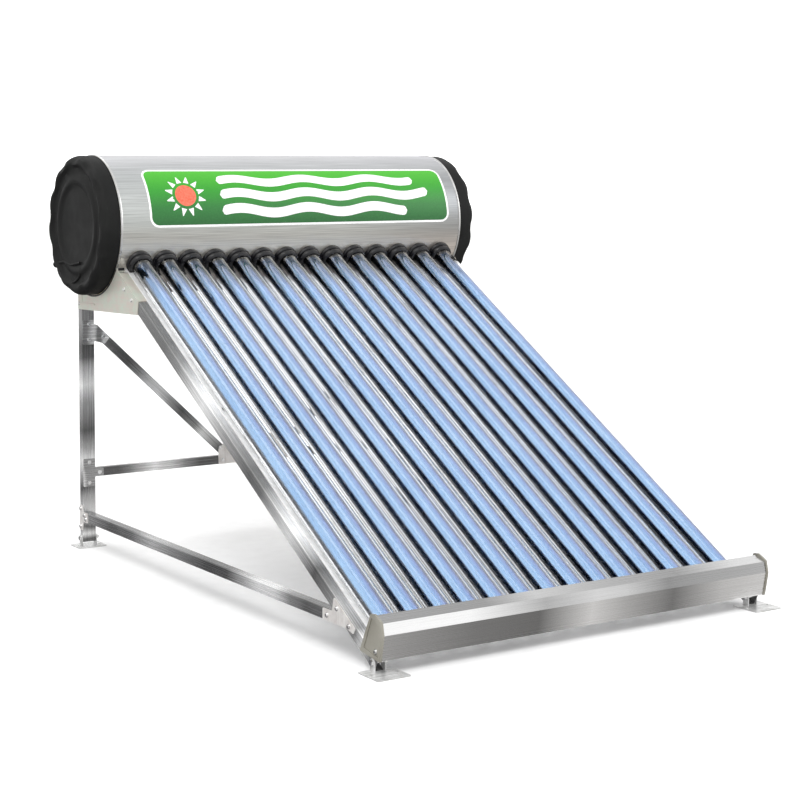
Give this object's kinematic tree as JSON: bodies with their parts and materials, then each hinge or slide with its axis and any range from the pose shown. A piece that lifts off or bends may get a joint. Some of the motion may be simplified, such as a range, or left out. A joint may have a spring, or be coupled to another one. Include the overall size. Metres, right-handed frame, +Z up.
{
  "type": "solar water heater",
  "caption": "Thermosyphon solar water heater: horizontal insulated tank, slanted evacuated glass tubes, tail tray and a folded steel stand on tilting feet.",
  "frame": {"origin": "on the ground, under the middle of the heater's box", "axes": "+X along the tank to the right, -Y towards the tail tray, +Z up"},
  "size_m": [1.318, 1.885, 1.2022],
  "materials": {
    "tank_skin": "horizontally brushed stainless sheet",
    "inner_steel": "plain stainless sheet",
    "foam": "moulded polyurethane foam",
    "cap_plastic": "matt black moulded plastic",
    "rim_steel": "bright rolled edge",
    "port_brass": "machined brass",
    "anode": "cast magnesium, dull",
    "label": "printed green film, light at the top and dark at the bottom, with a white edge",
    "seal_rubber": "red-brown silicone rubber",
    "ring_rubber": "black rubber, slightly shiny",
    "cup_plastic": "milky clear plastic",
    "tube_glass": "borosilicate glass over a dark blue absorber coating",
    "tray_steel": "bright brushed stainless sheet",
    "end_plate_plastic": "beige grey moulded plastic",
    "frame_steel": "bright rolled stainless sheet",
    "rail_steel": "bright satin aluminium",
    "saddle_steel": "pressed stainless sheet",
    "plate_steel": "pressed stainless sheet",
    "screw_steel": "plated screw"
  },
  "bodies": {
    "frame": {"anode_rod": "anode", "brace_centre_plate": "plate_steel", "cold_water_port": "port_brass", "dust_rings": "ring_rubber", "end_cap_left": "cap_plastic", "end_cap_right": "cap_plastic", "foot_bolts": "screw_steel", "frame_screws": "screw_steel", "front_label": "label", "front_leg_left": "frame_steel", "front_leg_right": "frame_steel", "hot_water_port": "port_brass", "inner_tank": "inner_steel", "insulation_foam": "foam", "lower_gussets": "plate_steel", "lower_post_plates": "plate_steel", "mid_post_plates": "plate_steel", "outer_shell": "tank_skin", "rear_brace_left": "frame_steel", "rear_brace_right": "frame_steel", "rear_cross_beam": "frame_steel", "rear_post_left": "frame_steel", "rear_post_right": "frame_steel", "saddle_trims": "ring_rubber", "side_beam_left": "frame_steel", "side_beam_right": "frame_steel", "side_rail_left": "rail_steel", "side_rail_right": "rail_steel", "tail_cups": "cup_plastic", "tail_tray": "tray_steel", "tank_saddle_left": "saddle_steel", "tank_saddle_right": "saddle_steel", "tray_end_left": "end_plate_plastic", "tray_end_right": "end_plate_plastic", "tray_screws": "screw_steel", "trim_ring_left": "rim_steel", "trim_ring_right": "rim_steel", "tube_seals": "seal_rubber", "upper_post_plates": "plate_steel", "vent_port": "port_brass"},
    "tube_01": {"evacuated_tube_01": "tube_glass"},
    "tube_02": {"evacuated_tube_02": "tube_glass"},
    "tube_03": {"evacuated_tube_03": "tube_glass"},
    "tube_04": {"evacuated_tube_04": "tube_glass"},
    "tube_05": {"evacuated_tube_05": "tube_glass"},
    "tube_06": {"evacuated_tube_06": "tube_glass"},
    "tube_07": {"evacuated_tube_07": "tube_glass"},
    "tube_08": {"evacuated_tube_08": "tube_glass"},
    "tube_09": {"evacuated_tube_09": "tube_glass"},
    "tube_10": {"evacuated_tube_10": "tube_glass"},
    "tube_11": {"evacuated_tube_11": "tube_glass"},
    "tube_12": {"evacuated_tube_12": "tube_glass"},
    "tube_13": {"evacuated_tube_13": "tube_glass"},
    "tube_14": {"evacuated_tube_14": "tube_glass"},
    "foot_front_left_body": {"foot_front_left": "plate_steel"},
    "foot_front_right_body": {"foot_front_right": "plate_steel"},
    "foot_rear_left_body": {"foot_rear_left": "plate_steel"},
    "foot_rear_right_body": {"foot_rear_right": "plate_steel"}
  },
  "joints": [
    {"name": "tube_01_slide", "type": "slide", "parent": "frame", "child": "tube_01", "axis": [0, 0.8634, 0.5045], "range_m": [0, 0.035]},
    {"name": "tube_02_slide", "type": "slide", "parent": "frame", "child": "tube_02", "axis": [0, 0.8634, 0.5045], "range_m": [0, 0.035]},
    {"name": "tube_03_slide", "type": "slide", "parent": "frame", "child": "tube_03", "axis": [0, 0.8634, 0.5045], "range_m": [0, 0.035]},
    {"name": "tube_04_slide", "type": "slide", "parent": "frame", "child": "tube_04", "axis": [0, 0.8634, 0.5045], "range_m": [0, 0.035]},
    {"name": "tube_05_slide", "type": "slide", "parent": "frame", "child": "tube_05", "axis": [0, 0.8634, 0.5045], "range_m": [0, 0.035]},
    {"name": "tube_06_slide", "type": "slide", "parent": "frame", "child": "tube_06", "axis": [0, 0.8634, 0.5045], "range_m": [0, 0.035]},
    {"name": "tube_07_slide", "type": "slide", "parent": "frame", "child": "tube_07", "axis": [0, 0.8634, 0.5045], "range_m": [0, 0.035]},
    {"name": "tube_08_slide", "type": "slide", "parent": "frame", "child": "tube_08", "axis": [0, 0.8634, 0.5045], "range_m": [0, 0.035]},
    {"name": "tube_09_slide", "type": "slide", "parent": "frame", "child": "tube_09", "axis": [0, 0.8634, 0.5045], "range_m": [0, 0.035]},
    {"name": "tube_10_slide", "type": "slide", "parent": "frame", "child": "tube_10", "axis": [0, 0.8634, 0.5045], "range_m": [0, 0.035]},
    {"name": "tube_11_slide", "type": "slide", "parent": "frame", "child": "tube_11", "axis": [0, 0.8634, 0.5045], "range_m": [0, 0.035]},
    {"name": "tube_12_slide", "type": "slide", "parent": "frame", "child": "tube_12", "axis": [0, 0.8634, 0.5045], "range_m": [0, 0.035]},
    {"name": "tube_13_slide", "type": "slide", "parent": "frame", "child": "tube_13", "axis": [0, 0.8634, 0.5045], "range_m": [0, 0.035]},
    {"name": "tube_14_slide", "type": "slide", "parent": "frame", "child": "tube_14", "axis": [0, 0.8634, 0.5045], "range_m": [0, 0.035]},
    {"name": "foot_front_left_tilt", "type": "hinge", "parent": "frame", "child": "foot_front_left_body", "pos_m": [-0.587, -0.87086, 0.02425], "axis": [1, 0, 0], "range_deg": [-15, 15]},
    {"name": "foot_front_right_tilt", "type": "hinge", "parent": "frame", "child": "foot_front_right_body", "pos_m": [0.587, -0.87086, 0.02425], "axis": [1, 0, 0], "range_deg": [-15, 15]},
    {"name": "foot_rear_left_tilt", "type": "hinge", "parent": "frame", "child": "foot_rear_left_body", "pos_m": [-0.579, 0.8075, 0.0253], "axis": [1, 0, 0], "range_deg": [-15, 15]},
    {"name": "foot_rear_right_tilt", "type": "hinge", "parent": "frame", "child": "foot_rear_right_body", "pos_m": [0.579, 0.8075, 0.0253], "axis": [1, 0, 0], "range_deg": [-15, 15]}
  ]
}
